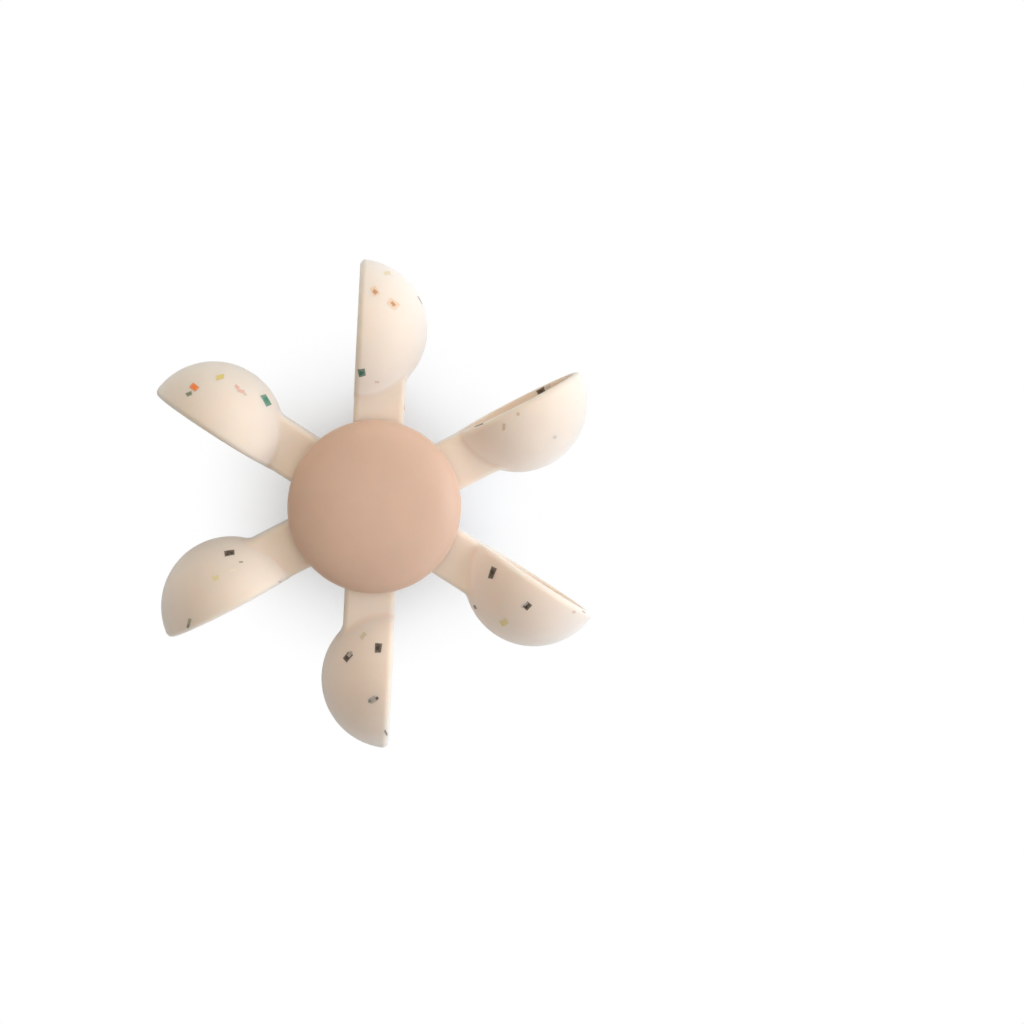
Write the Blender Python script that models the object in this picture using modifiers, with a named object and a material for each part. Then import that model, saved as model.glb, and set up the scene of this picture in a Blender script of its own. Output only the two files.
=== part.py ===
"""Bath water wheel: six scoop paddles on a hub that turns freely on a suction mount.

The wheel lies on its back, as on a table: the suction lip is on z = 0, the axle runs up +Z,
and the first paddle points along +Y. All sizes are in metres.
"""

import math

import bmesh
import bpy
from mathutils import Matrix, Vector

# Clearances
SEAT_GAP = 0.0003  # between pieces that are seated on each other
RUNNING_GAP = 0.0003  # radial, between the axle and the bushes
END_FLOAT = 0.0005  # how far the axle stands past the front bush

# Paddles
PADDLE_COUNT = 6
CUP_RADIUS = 0.023  # outside of the cup
CUP_WALL = 0.0026
RIM_PROUD = 0.0002  # the cup's rim past the arm's flat side
ARM_WIDTH = 0.0166  # along the wheel's turn
ARM_THICKNESS = 0.017  # along the axle
ARM_LENGTH = 0.0061  # free arm between the hub and the cup
ARM_EDGE_RADIUS = 0.0018
ROOT_GAP = 0.002  # from where neighbouring roots would meet
EYELET_WALL = 0.0015  # root before and behind the eyelet

# Hub
HUB_WALL = 0.002
HUB_EDGE_RADIUS = 0.003
POST_WALL = 0.0014  # around the screw's pilot hole
SPIGOT_WALL = 0.0012
BEAD_HEIGHT = 0.0005  # snap bead that holds the cap
BEAD_WIDTH = 0.0008

# Hub cap
CAP_OVERHANG = 0.0003  # past the hub's drum
CAP_WALL = 0.0022
CAP_SKIRT = 0.0024  # straight wall below the dome
CAP_RISE = 0.010  # dome above the skirt
CAP_FULLNESS = 2.2  # exponent of the dome's superellipse

# Axle, bushes and washers
AXLE_RADIUS = 0.0045
FLANGE_RADIUS = 0.011
FLANGE_THICKNESS = 0.003
TAIL_NECK_RADIUS = 0.004
TAIL_NECK_LENGTH = 0.0045
TAIL_BARB = 0.002  # the tail's head past its neck
TAIL_HEAD_HEIGHT = 0.0028
BUSH_WALL = 0.0014
BUSH_LENGTH = 0.007  # sleeve beside the bush's flange
BUSH_FLANGE_WIDTH = 0.0021
BUSH_FLANGE_THICKNESS = 0.0013
WASHER_WIDTH = 0.0032  # around the axle
WASHER_THICKNESS = 0.001

# Screws
AXLE_SCREW_RADIUS = 0.0016
AXLE_SCREW_LENGTH = 0.014
AXLE_SCREW_HEAD_RADIUS = 0.0036
AXLE_SCREW_HEAD_HEIGHT = 0.0022
HUB_SCREW_RADIUS = 0.0013
HUB_SCREW_LENGTH = 0.011
HUB_SCREW_HEAD_RADIUS = 0.0025
HUB_SCREW_HEAD_HEIGHT = 0.0018
PILOT_SPARE = 0.001  # pilot hole past the screw's tip
RECESS_SHARE = 0.55  # cross recess, as a share of the head
RECESS_SLIMNESS = 4  # a recess arm's reach over half its width

# Suction cup
SUCTION_RADIUS = 0.027
SUCTION_HOLLOW = 0.0042  # depth of the hollow under the bell
SUCTION_WEB = 0.0022  # between the hollow and the socket
SUCTION_LIP = 0.0012  # thickness at the edge
SEAL_WIDTH = 0.003  # flat ring that meets the wall
NECK_WALL = 0.0032
NECK_LENGTH = 0.0037  # straight neck above the flare
TAB_WIDTH = 0.009
TAB_LENGTH = 0.006  # past the lip
TAB_THICKNESS = 0.0016
TAB_LIFT = 0.0004  # the tab's underside above the wall
TAB_CORNER = 0.003

# Facets
ROUND_STEPS = 36
CUP_STEPS = 24
SMALL_STEPS = 12
ARC_STEPS = 6
EDGE_STEPS = 2
SMOOTH_ANGLE = math.radians(35)
AXIS_MERGE = 0.00001

# Heights along the axle, from the wall up
SOCKET_Z = SUCTION_HOLLOW + SUCTION_WEB
TAIL_Z = SOCKET_Z + SEAT_GAP
TAIL_HEAD_Z = TAIL_Z + TAIL_HEAD_HEIGHT
FLANGE_Z = TAIL_HEAD_Z + TAIL_NECK_LENGTH
SUCTION_HEIGHT = FLANGE_Z - SEAT_GAP
SHOULDER_Z = FLANGE_Z + FLANGE_THICKNESS
THRUST_WASHER_Z = SHOULDER_Z + SEAT_GAP
REAR_BUSH_Z = THRUST_WASHER_Z + WASHER_THICKNESS + SEAT_GAP
HUB_REAR_Z = REAR_BUSH_Z + BUSH_FLANGE_THICKNESS + SEAT_GAP
HUB_FLOOR_Z = HUB_REAR_Z + HUB_WALL
ARM_REAR_Z = HUB_FLOOR_Z + SEAT_GAP
WHEEL_Z = ARM_REAR_Z + ARM_THICKNESS / 2
ARM_FRONT_Z = WHEEL_Z + ARM_THICKNESS / 2
HUB_ROOF_Z = ARM_FRONT_Z + SEAT_GAP
HUB_FRONT_Z = HUB_ROOF_Z + HUB_WALL
FRONT_BUSH_Z = ARM_FRONT_Z + SEAT_GAP
AXLE_TOP_Z = FRONT_BUSH_Z + BUSH_FLANGE_THICKNESS + END_FLOAT
RETAINING_WASHER_Z = AXLE_TOP_Z + SEAT_GAP
AXLE_SCREW_Z = RETAINING_WASHER_Z + WASHER_THICKNESS + SEAT_GAP
CAP_Z = HUB_FRONT_Z + SEAT_GAP
DOME_Z = CAP_Z + CAP_SKIRT
SPIGOT_TOP_Z = DOME_Z - SEAT_GAP
BEAD_Z = (HUB_FRONT_Z + SPIGOT_TOP_Z) / 2

# Radii and places that follow from the fits
BUSH_BORE = AXLE_RADIUS + RUNNING_GAP
BUSH_RADIUS = BUSH_BORE + BUSH_WALL
BUSH_FLANGE_RADIUS = BUSH_RADIUS + BUSH_FLANGE_WIDTH
WASHER_RADIUS = BUSH_BORE + WASHER_WIDTH
BOSS_BORE = BUSH_RADIUS + SEAT_GAP
BOSS_RADIUS = BOSS_BORE + HUB_WALL
PILOT_RADIUS = HUB_SCREW_RADIUS + SEAT_GAP
POST_RADIUS = PILOT_RADIUS + POST_WALL
EYELET_RADIUS = POST_RADIUS + SEAT_GAP
ROOTS_MEET = ARM_WIDTH / 2 / math.tan(math.pi / PADDLE_COUNT)
ARM_ROOT = max(ROOTS_MEET, BOSS_RADIUS) + ROOT_GAP
POST_CIRCLE = ARM_ROOT + EYELET_WALL + EYELET_RADIUS
HUB_INSIDE = POST_CIRCLE + EYELET_RADIUS + EYELET_WALL
HUB_RADIUS = HUB_INSIDE + HUB_WALL
HUB_OPENING = BUSH_FLANGE_RADIUS + 2 * SEAT_GAP
CAP_RADIUS = HUB_RADIUS + CAP_OVERHANG
CAP_INSIDE = CAP_RADIUS - CAP_WALL
SPIGOT_RADIUS = CAP_INSIDE - SEAT_GAP
TAIL_HEAD_RADIUS = TAIL_NECK_RADIUS + TAIL_BARB
NECK_RADIUS = TAIL_HEAD_RADIUS + SEAT_GAP + NECK_WALL
RIM_OFFSET = ARM_WIDTH / 2 + RIM_PROUD  # the rim's plane from the wheel's axis
CUP_CENTRE = HUB_RADIUS + ARM_LENGTH + CUP_RADIUS
CUP_INSIDE = CUP_RADIUS - CUP_WALL
CUP_MIDDLE = CUP_RADIUS - CUP_WALL / 2
FIRST_PADDLE = math.pi / 2
PADDLE_TURNS = [FIRST_PADDLE + 2 * math.pi * i / PADDLE_COUNT for i in range(PADDLE_COUNT)]
POST_PLACES = [(POST_CIRCLE * math.cos(t), POST_CIRCLE * math.sin(t)) for t in PADDLE_TURNS]


def clear_scene():
    for obj in list(bpy.data.objects):
        bpy.data.objects.remove(obj)


def new_collection(name):
    collection = bpy.data.collections.new(name)
    bpy.context.scene.collection.children.link(collection)
    return collection


def new_material(name, colour, roughness, metallic=0.0):
    material = bpy.data.materials.new(name)
    material.use_nodes = True
    shader = material.node_tree.nodes["Principled BSDF"]
    shader.inputs["Base Color"].default_value = (*colour, 1.0)
    shader.inputs["Roughness"].default_value = roughness
    shader.inputs["Metallic"].default_value = metallic
    return material


def new_object(name, mesh, collection):
    obj = bpy.data.objects.new(name, mesh)
    collection.objects.link(obj)
    return obj


def new_helper(name, mesh):
    """A cutter or an operand: it shapes the parts and isn't one itself."""
    obj = new_object(name, mesh, CUTTERS)
    obj.hide_render = True
    obj.display_type = "WIRE"
    return obj


def mesh_from(bm, name):
    mesh = bpy.data.meshes.new(name)
    bm.to_mesh(mesh)
    bm.free()
    return mesh


def baked(source):
    """The evaluated mesh of a helper, which is then removed."""
    bpy.context.view_layer.update()
    graph = bpy.context.evaluated_depsgraph_get()
    mesh = bpy.data.meshes.new_from_object(source.evaluated_get(graph))
    bpy.data.objects.remove(source)
    mesh.shade_smooth()
    mesh.set_sharp_from_angle(angle=SMOOTH_ANGLE)
    return mesh


def arc(centre, radius, start, end, steps):
    """Points of an arc in (radius, height) coordinates, with angles in degrees from +radius."""
    turns = [math.radians(start + (end - start) * i / steps) for i in range(steps + 1)]
    return [(centre[0] + radius * math.cos(t), centre[1] + radius * math.sin(t)) for t in turns]


def turned_mesh(name, profile, steps, ring=False):
    """A profile of (radius, height) points turned about Z, closed on itself if it makes a ring."""
    bm = bmesh.new()
    points = [bm.verts.new((max(radius, 0.0), 0.0, height)) for radius, height in profile]
    for first, second in zip(points, points[1:]):
        bm.edges.new((first, second))
    if ring:
        bm.edges.new((points[-1], points[0]))
    source = new_helper(name, mesh_from(bm, name))
    screw = source.modifiers.new("turn", "SCREW")
    screw.steps = steps
    screw.render_steps = steps
    screw.use_merge_vertices = True
    screw.merge_threshold = AXIS_MERGE
    return baked(source)


def rods_mesh(name, places, radius, low, high):
    """Upright cylinders of one radius at several (x, y) places."""
    bm = bmesh.new()
    for x, y in places:
        bmesh.ops.create_cone(
            bm,
            cap_ends=True,
            segments=SMALL_STEPS,
            radius1=radius,
            radius2=radius,
            depth=high - low,
            matrix=Matrix.Translation((x, y, (low + high) / 2)),
        )
    return mesh_from(bm, name)


def boxes_mesh(name, low, high, turns):
    """The same box, given by two corners, at several turns about Z."""
    bm = bmesh.new()
    size = Vector(high) - Vector(low)
    shape = Matrix.Translation((Vector(high) + Vector(low)) / 2) @ Matrix.Diagonal((*size, 1))
    for turn in turns:
        bmesh.ops.create_cube(bm, size=1.0, matrix=Matrix.Rotation(turn, 4, "Z") @ shape)
    return mesh_from(bm, name)


def combine(source, operation, name, mesh, matrix=None):
    """Adds a Boolean of the source with a new helper that holds the mesh."""
    other = new_helper(name, mesh)
    if matrix is not None:
        other.matrix_world = matrix
    boolean = source.modifiers.new(name, "BOOLEAN")
    boolean.operation = operation
    boolean.object = other
    return other


def finished(source, others):
    """The shape of a helper and its Booleans as one mesh, with the helpers removed."""
    mesh = baked(source)
    for other in others:
        bpy.data.objects.remove(other)
    return mesh


def place_part(name, mesh, material, axis, turn=0.0):
    """A finished piece under the empty on the wheel's axis."""
    obj = new_object(name, mesh, PARTS)
    mesh.materials.clear()
    mesh.materials.append(material)
    obj.parent = axis
    obj.rotation_euler = (0.0, 0.0, turn)
    return obj


def cup_profile():
    """The cup's wall, opening upwards with its rim on height 0: inside, rounded rim, outside."""
    half_wall = CUP_WALL / 2

    def wall(radius):
        top = math.acos(half_wall / radius)
        turns = [top * i / ARC_STEPS for i in range(ARC_STEPS)]
        return [(radius * math.sin(t), -radius * math.cos(t)) for t in turns]

    rim_radius = math.sqrt(CUP_MIDDLE**2 - half_wall**2)
    rim = arc((rim_radius, -half_wall), half_wall, 180, 0, 2 * EDGE_STEPS)
    return wall(CUP_INSIDE) + rim + wall(CUP_RADIUS)[::-1]


def paddle_mesh():
    """One paddle along +X: a round cup that opens towards +Y, on an arm with an eyelet in its root."""
    low = (ARM_ROOT, -ARM_WIDTH / 2, ARM_REAR_Z)
    high = (CUP_CENTRE, ARM_WIDTH / 2, ARM_FRONT_Z)
    source = new_helper("arm", boxes_mesh("arm", low, high, [0.0]))
    bevel = source.modifiers.new("edges", "BEVEL")
    bevel.width = ARM_EDGE_RADIUS
    bevel.segments = EDGE_STEPS
    cup_turn = Matrix.Rotation(-math.pi / 2, 4, "X")
    cup_place = Matrix.Translation((CUP_CENTRE, RIM_OFFSET, WHEEL_Z)) @ cup_turn
    ball = turned_mesh("ball", arc((0.0, 0.0), CUP_MIDDLE, 90, -90, 2 * ARC_STEPS), CUP_STEPS)
    cup = turned_mesh("cup", cup_profile(), CUP_STEPS)
    eyelet = rods_mesh("eyelet", [(POST_CIRCLE, 0.0)], EYELET_RADIUS, HUB_REAR_Z, HUB_FRONT_Z)
    others = [
        combine(source, "DIFFERENCE", "arm_end", ball, cup_place),
        combine(source, "UNION", "cup_join", cup, cup_place),
        combine(source, "DIFFERENCE", "eyelet_hole", eyelet),
    ]
    return finished(source, others)


def windows_mesh(name, low_z, high_z):
    """Openings in the hub's drum for the arms."""
    side = ARM_WIDTH / 2 + SEAT_GAP
    inner = math.sqrt(HUB_INSIDE**2 - side**2) - HUB_WALL / 2
    low = (inner, -side, low_z)
    high = (HUB_RADIUS + HUB_WALL, side, high_z)
    return boxes_mesh(name, low, high, PADDLE_TURNS)


def hub_rear_mesh():
    """Rear half of the drum: floor, bearing boss, windows for the arms and a post for each paddle."""
    split = WHEEL_Z - SEAT_GAP / 2
    edge_centre = (HUB_RADIUS - HUB_EDGE_RADIUS, HUB_REAR_Z + HUB_EDGE_RADIUS)
    profile = [
        (BOSS_BORE, ARM_FRONT_Z),
        (BOSS_RADIUS, ARM_FRONT_Z),
        (BOSS_RADIUS, HUB_FLOOR_Z),
        (HUB_INSIDE, HUB_FLOOR_Z),
        (HUB_INSIDE, split),
        (HUB_RADIUS, split),
        *arc(edge_centre, HUB_EDGE_RADIUS, 0, -90, 2 * EDGE_STEPS),
        (BOSS_BORE, HUB_REAR_Z),
    ]
    source = new_helper("drum", turned_mesh("drum", profile, ROUND_STEPS, ring=True))
    windows = windows_mesh("windows", ARM_REAR_Z - SEAT_GAP / 2, WHEEL_Z)
    posts = rods_mesh("posts", POST_PLACES, POST_RADIUS, HUB_FLOOR_Z - HUB_WALL / 2, ARM_FRONT_Z)
    pilot_low = CAP_Z - HUB_SCREW_LENGTH - PILOT_SPARE
    pilots = rods_mesh("pilots", POST_PLACES, PILOT_RADIUS, pilot_low, HUB_FRONT_Z)
    others = [
        combine(source, "DIFFERENCE", "windows_cut", windows),
        combine(source, "UNION", "posts_join", posts),
        combine(source, "DIFFERENCE", "pilots_cut", pilots),
    ]
    return finished(source, others)


def hub_front_mesh():
    """Front half of the drum: roof with screw holes, windows for the arms and the cap's spigot."""
    split = WHEEL_Z + SEAT_GAP / 2
    profile = [
        (HUB_OPENING, HUB_FRONT_Z),
        (SPIGOT_RADIUS - SPIGOT_WALL, HUB_FRONT_Z),
        (SPIGOT_RADIUS - SPIGOT_WALL, SPIGOT_TOP_Z),
        (SPIGOT_RADIUS, SPIGOT_TOP_Z),
        (SPIGOT_RADIUS, BEAD_Z + BEAD_WIDTH / 2),
        (SPIGOT_RADIUS + BEAD_HEIGHT, BEAD_Z),
        (SPIGOT_RADIUS, BEAD_Z - BEAD_WIDTH / 2),
        (SPIGOT_RADIUS, HUB_FRONT_Z),
        (HUB_RADIUS, HUB_FRONT_Z),
        (HUB_RADIUS, split),
        (HUB_INSIDE, split),
        (HUB_INSIDE, HUB_ROOF_Z),
        (HUB_OPENING, HUB_ROOF_Z),
    ]
    source = new_helper("drum", turned_mesh("drum", profile, ROUND_STEPS, ring=True))
    windows = windows_mesh("windows", WHEEL_Z, ARM_FRONT_Z + SEAT_GAP / 2)
    holes = rods_mesh("holes", POST_PLACES, PILOT_RADIUS, WHEEL_Z, SPIGOT_TOP_Z)
    others = [
        combine(source, "DIFFERENCE", "windows_cut", windows),
        combine(source, "DIFFERENCE", "holes_cut", holes),
    ]
    return finished(source, others)


def dome(radius, rise, steps):
    """Points down a superellipse dome, from the axis at the top to its edge."""
    points = []
    for across, up in arc((0.0, 0.0), 1.0, 90, 0, steps):
        fullness = 2 / CAP_FULLNESS
        points.append((radius * max(across, 0.0) ** fullness, DOME_Z + rise * up**fullness))
    return points


def cap_mesh():
    """Domed cap that snaps over the front shell's spigot."""
    outside = dome(CAP_RADIUS, CAP_RISE, 2 * ARC_STEPS)
    inside = dome(CAP_INSIDE, CAP_RISE - CAP_WALL, ARC_STEPS)
    groove = [
        (CAP_INSIDE, BEAD_Z - BEAD_WIDTH / 2),
        (CAP_INSIDE + BEAD_HEIGHT, BEAD_Z),
        (CAP_INSIDE, BEAD_Z + BEAD_WIDTH / 2),
    ]
    profile = outside + [(CAP_RADIUS, CAP_Z), (CAP_INSIDE, CAP_Z)] + groove + inside[::-1]
    return turned_mesh("hub_cap", profile, ROUND_STEPS)


def bush_mesh(name, flange_z, sleeve_up):
    """Flanged bush, with its sleeve above or below its flange."""
    flange_top = flange_z + BUSH_FLANGE_THICKNESS
    flange = [(BUSH_FLANGE_RADIUS, flange_top), (BUSH_FLANGE_RADIUS, flange_z)]
    if sleeve_up:
        top, bottom = flange_top + BUSH_LENGTH, flange_z
        outside = [(BUSH_RADIUS, top), (BUSH_RADIUS, flange_top), *flange]
    else:
        top, bottom = flange_top, flange_z - BUSH_LENGTH
        outside = [*flange, (BUSH_RADIUS, flange_z), (BUSH_RADIUS, bottom)]
    profile = [(BUSH_BORE, top), *outside, (BUSH_BORE, bottom)]
    return turned_mesh(name, profile, ROUND_STEPS, ring=True)


def washer_mesh(name, low, bore):
    high = low + WASHER_THICKNESS
    profile = [(bore, high), (WASHER_RADIUS, high), (WASHER_RADIUS, low), (bore, low)]
    return turned_mesh(name, profile, ROUND_STEPS, ring=True)


def axle_mesh():
    """Axle post with a pilot hole in front, a thrust flange and a barbed tail for the suction cup."""
    pilot_radius = AXLE_SCREW_RADIUS + SEAT_GAP
    pilot_low = AXLE_SCREW_Z - AXLE_SCREW_LENGTH - PILOT_SPARE
    profile = [
        (0.0, pilot_low),
        (pilot_radius, pilot_low),
        (pilot_radius, AXLE_TOP_Z),
        (AXLE_RADIUS, AXLE_TOP_Z),
        (AXLE_RADIUS, SHOULDER_Z),
        (FLANGE_RADIUS, SHOULDER_Z),
        (FLANGE_RADIUS, FLANGE_Z),
        (TAIL_NECK_RADIUS, FLANGE_Z),
        (TAIL_NECK_RADIUS, TAIL_HEAD_Z),
        (TAIL_HEAD_RADIUS, TAIL_HEAD_Z),
        (TAIL_HEAD_RADIUS, TAIL_HEAD_Z - TAIL_HEAD_HEIGHT / 2),
        (TAIL_NECK_RADIUS, TAIL_Z),
        (0.0, TAIL_Z),
    ]
    return turned_mesh("axle_post", profile, ROUND_STEPS)


def screw_mesh(name, radius, length, head_radius, head_height):
    """Pan-head screw with its seat on height 0, its shank downwards and a cross recess in its head."""
    head = arc((0.0, 0.0), 1.0, 90, 0, 2 * EDGE_STEPS)
    profile = [(head_radius * across, head_height * up) for across, up in head]
    profile += [(radius, 0.0), (radius, radius - length), (0.0, -length)]
    source = new_helper(name, turned_mesh(name, profile, SMALL_STEPS))
    reach = head_radius * RECESS_SHARE
    half_width = reach / RECESS_SLIMNESS
    low = (-reach, -half_width, head_height * (1 - RECESS_SHARE))
    high = (reach, half_width, 2 * head_height)
    others = []
    for turn_name, turn in (("recess", 0.0), ("cross_recess", math.pi / 2)):
        slot = boxes_mesh(turn_name, low, high, [turn])
        others.append(combine(source, "DIFFERENCE", turn_name, slot))
    return finished(source, others)


def tab_mesh():
    """Pull tab on the suction lip, with its free corners rounded."""
    tip = SUCTION_RADIUS + TAB_LENGTH
    low = (SUCTION_RADIUS - SEAL_WIDTH / 2, -TAB_WIDTH / 2, TAB_LIFT)
    high = (tip, TAB_WIDTH / 2, TAB_LIFT + TAB_THICKNESS)
    bm = bmesh.new()
    bm.from_mesh(boxes_mesh("tab", low, high, [0.0]))
    corners = [
        edge
        for edge in bm.edges
        if min(vert.co.x for vert in edge.verts) > SUCTION_RADIUS
        and abs(edge.verts[0].co.y - edge.verts[1].co.y) < AXIS_MERGE
    ]
    bmesh.ops.bevel(
        bm,
        geom=corners,
        offset=TAB_CORNER,
        segments=2 * EDGE_STEPS,
        profile=0.5,
        affect="EDGES",
    )
    return mesh_from(bm, "tab")


def suction_mesh():
    """Suction bell with a flat seal ring, a blind socket for the axle's tail and a pull tab."""
    socket_head = TAIL_HEAD_RADIUS + SEAT_GAP
    socket_neck = TAIL_NECK_RADIUS + SEAT_GAP
    socket = [
        (0.0, SOCKET_Z),
        (socket_head, SOCKET_Z),
        (socket_head, TAIL_HEAD_Z + SEAT_GAP),
        (socket_neck, TAIL_HEAD_Z + SEAT_GAP),
        (socket_neck, SUCTION_HEIGHT),
        (NECK_RADIUS, SUCTION_HEIGHT),
    ]
    drop = SUCTION_HEIGHT - NECK_LENGTH - SUCTION_LIP
    flare = [
        (NECK_RADIUS + (SUCTION_RADIUS - NECK_RADIUS) * (1 - along), SUCTION_LIP + drop * (1 - down))
        for along, down in arc((0.0, 0.0), 1.0, 0, 90, 2 * ARC_STEPS)
    ]
    hollow_radius = SUCTION_RADIUS - SEAL_WIDTH
    hollow = [
        (hollow_radius * (1 - i / ARC_STEPS), SUCTION_HOLLOW * math.sin(math.pi / 2 * i / ARC_STEPS))
        for i in range(ARC_STEPS + 1)
    ]
    profile = socket + flare + [(SUCTION_RADIUS, 0.0)] + hollow
    source = new_helper("bell", turned_mesh("bell", profile, ROUND_STEPS))
    tab = combine(source, "UNION", "tab_join", tab_mesh(), Matrix.Rotation(FIRST_PADDLE, 4, "Z"))
    return finished(source, [tab])


def build_mount(axis):
    """What stays on the wall: the suction cup, the axle and what holds the wheel on it."""
    place_part("suction_cup", suction_mesh(), SUCTION_SILICONE, axis)
    place_part("axle_post", axle_mesh(), WHITE_PLASTIC, axis)
    thrust = washer_mesh("thrust_washer", THRUST_WASHER_Z, BUSH_BORE)
    place_part("thrust_washer", thrust, ACETAL, axis)
    retaining = washer_mesh("retaining_washer", RETAINING_WASHER_Z, AXLE_SCREW_RADIUS + SEAT_GAP)
    place_part("retaining_washer", retaining, STEEL, axis)
    screw = screw_mesh(
        "axle_screw",
        AXLE_SCREW_RADIUS,
        AXLE_SCREW_LENGTH,
        AXLE_SCREW_HEAD_RADIUS,
        AXLE_SCREW_HEAD_HEIGHT,
    )
    place_part("axle_screw", screw, STEEL, axis).location.z = AXLE_SCREW_Z


def build_wheel(axis):
    """What turns: the hub's two shells and cap, its bushes and screws, and the paddles."""
    place_part("hub_rear_shell", hub_rear_mesh(), BLUSH_PLASTIC, axis)
    place_part("hub_front_shell", hub_front_mesh(), BLUSH_PLASTIC, axis)
    place_part("hub_cap", cap_mesh(), BLUSH_SILICONE, axis)
    place_part("rear_bush", bush_mesh("rear_bush", REAR_BUSH_Z, True), ACETAL, axis)
    place_part("front_bush", bush_mesh("front_bush", FRONT_BUSH_Z, False), ACETAL, axis)
    screw = screw_mesh(
        "hub_screw",
        HUB_SCREW_RADIUS,
        HUB_SCREW_LENGTH,
        HUB_SCREW_HEAD_RADIUS,
        HUB_SCREW_HEAD_HEIGHT,
    )
    paddle = paddle_mesh()
    for i, (turn, place) in enumerate(zip(PADDLE_TURNS, POST_PLACES), start=1):
        place_part(f"paddle_{i}", paddle, CREAM_SILICONE, axis, turn)
        place_part(f"hub_screw_{i}", screw, STEEL, axis, turn).location = (*place, CAP_Z)


clear_scene()
PARTS = new_collection("bath_water_wheel")
CUTTERS = new_collection("cutters")
CREAM_SILICONE = new_material("cream_silicone", (0.84, 0.70, 0.57), 0.55)
BLUSH_SILICONE = new_material("blush_silicone", (0.66, 0.44, 0.33), 0.55)
BLUSH_PLASTIC = new_material("blush_plastic", (0.66, 0.44, 0.33), 0.45)
SUCTION_SILICONE = new_material("suction_silicone", (0.72, 0.52, 0.42), 0.4)
WHITE_PLASTIC = new_material("white_plastic", (0.82, 0.80, 0.76), 0.4)
ACETAL = new_material("acetal", (0.87, 0.87, 0.84), 0.35)
STEEL = new_material("stainless_steel", (0.60, 0.60, 0.61), 0.3, metallic=1.0)
build_mount(new_object("mount_axis", None, PARTS))
build_wheel(new_object("wheel_axis", None, PARTS))
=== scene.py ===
"""The bath water wheel as the photograph shows it: six silicone paddles with inlaid chips round a soft hub
cap, on a white table under soft light from the right. Sizes are in metres, and +Z runs up the axle.
"""

import math

import bmesh
import bpy
import numpy as np
from mathutils import Matrix, Vector


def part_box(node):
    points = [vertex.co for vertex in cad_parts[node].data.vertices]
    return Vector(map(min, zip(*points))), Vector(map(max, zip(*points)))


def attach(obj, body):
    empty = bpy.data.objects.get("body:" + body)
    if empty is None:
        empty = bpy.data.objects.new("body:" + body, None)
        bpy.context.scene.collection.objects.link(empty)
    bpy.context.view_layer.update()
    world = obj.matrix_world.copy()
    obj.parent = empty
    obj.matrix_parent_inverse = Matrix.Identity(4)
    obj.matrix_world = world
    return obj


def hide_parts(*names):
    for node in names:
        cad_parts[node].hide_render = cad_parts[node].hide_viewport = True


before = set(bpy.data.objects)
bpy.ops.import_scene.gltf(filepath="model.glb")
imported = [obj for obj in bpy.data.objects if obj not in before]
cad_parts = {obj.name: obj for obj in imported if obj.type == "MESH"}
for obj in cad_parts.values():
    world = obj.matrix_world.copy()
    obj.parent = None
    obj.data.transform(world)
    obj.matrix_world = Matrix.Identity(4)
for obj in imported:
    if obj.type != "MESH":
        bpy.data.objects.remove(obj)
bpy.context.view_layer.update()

# Camera
IMAGE_SIDE = 1024  # pixels
SENSOR = 36.0  # millimetres
LENS = 149.8  # millimetres
CAMERA_DISTANCE = 1.4
CAMERA_LEAN = (-0.037, 0.064)  # to the right and up, for each unit towards the camera
CAMERA_ROLL = math.radians(2.99)
CAMERA_TARGET = (0.0453, -0.0003)  # point of the wheel's plane in the middle of the frame

# Paddles, with sizes from paddle_1, which points along +Y and opens towards -X
PADDLE_COUNT = 6
FIRST_PADDLE = math.pi / 2
PADDLE_TURNS = [FIRST_PADDLE + 2 * math.pi * i / PADDLE_COUNT for i in range(PADDLE_COUNT)]
PADDLE_TWISTS = {5: math.radians(-1.0)}  # a soft paddle that sits a little askew in its window
paddle_low, paddle_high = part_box("paddle_1")
WHEEL_Z = (paddle_low.z + paddle_high.z) / 2
RIM_PLANE = -paddle_low.x
CUP_RADIUS = paddle_high.x - paddle_low.x
CUP_PLACE = np.array((paddle_high.y - CUP_RADIUS, RIM_PLANE, 0.0))
CUP_WALL = 0.0026
RIM_ROUND = 0.0020  # outer edge of the rim
LIP_ROUND = 0.0005  # inner edge of the rim
ARM_ROOT = paddle_low.y
ARM_WIDTH = 0.0166  # along the wheel's turn
ARM_THICKNESS = 0.017  # along the axle
ARM_ROUND = 0.0018
CUP_FILLET = 0.0012  # where the arm meets the cup
EYELET_RADIUS = 0.0033

# Paddles' skin
SKIN_CELL = 0.00055
CELL_CORNERS = 8
PROJECT_ROUNDS = 4  # steps that bring a point onto the surface
RELAX_ROUNDS = 3
RELAX_PROJECT_ROUNDS = 2
TRACE_ROUNDS = 60  # steps along a ray
SLOPE_STEP = 0.00001

# Hub and mount, with sizes from the frame
SEAT_GAP = 0.0003
WALL = 0.002
SMALL_EDGE = 0.0003
cap_low, cap_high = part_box("hub_cap")
CAP_RADIUS = cap_high.x
CAP_WALL = 0.0022
CAP_SKIRT = 0.0024
CAP_FULLNESS = 2.2  # exponent of the dome's superellipse
CAP_EDGE = 0.0007
rear_low, rear_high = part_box("hub_rear_shell")
front_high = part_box("hub_front_shell")[1]
HUB_INSET = 0.0005  # how far the drum's wall keeps inside the frame's, under the cap's edge
HUB_RADIUS = rear_high.x - HUB_INSET
HUB_INSIDE = HUB_RADIUS - WALL + HUB_INSET
HUB_EDGE = 0.0045
HUB_FRONT_Z = cap_low.z - SEAT_GAP
SPIGOT_RADIUS = CAP_RADIUS - CAP_WALL - SEAT_GAP
SPIGOT_WALL = 0.0012
BEAD_HEIGHT = 0.0005
BEAD_WIDTH = 0.0008
screw_low, screw_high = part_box("hub_screw_1")
POST_CIRCLE = (screw_low.y + screw_high.y) / 2
POST_RADIUS = 0.003
PILOT_RADIUS = 0.0016
bush_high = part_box("rear_bush")[1]
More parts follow.
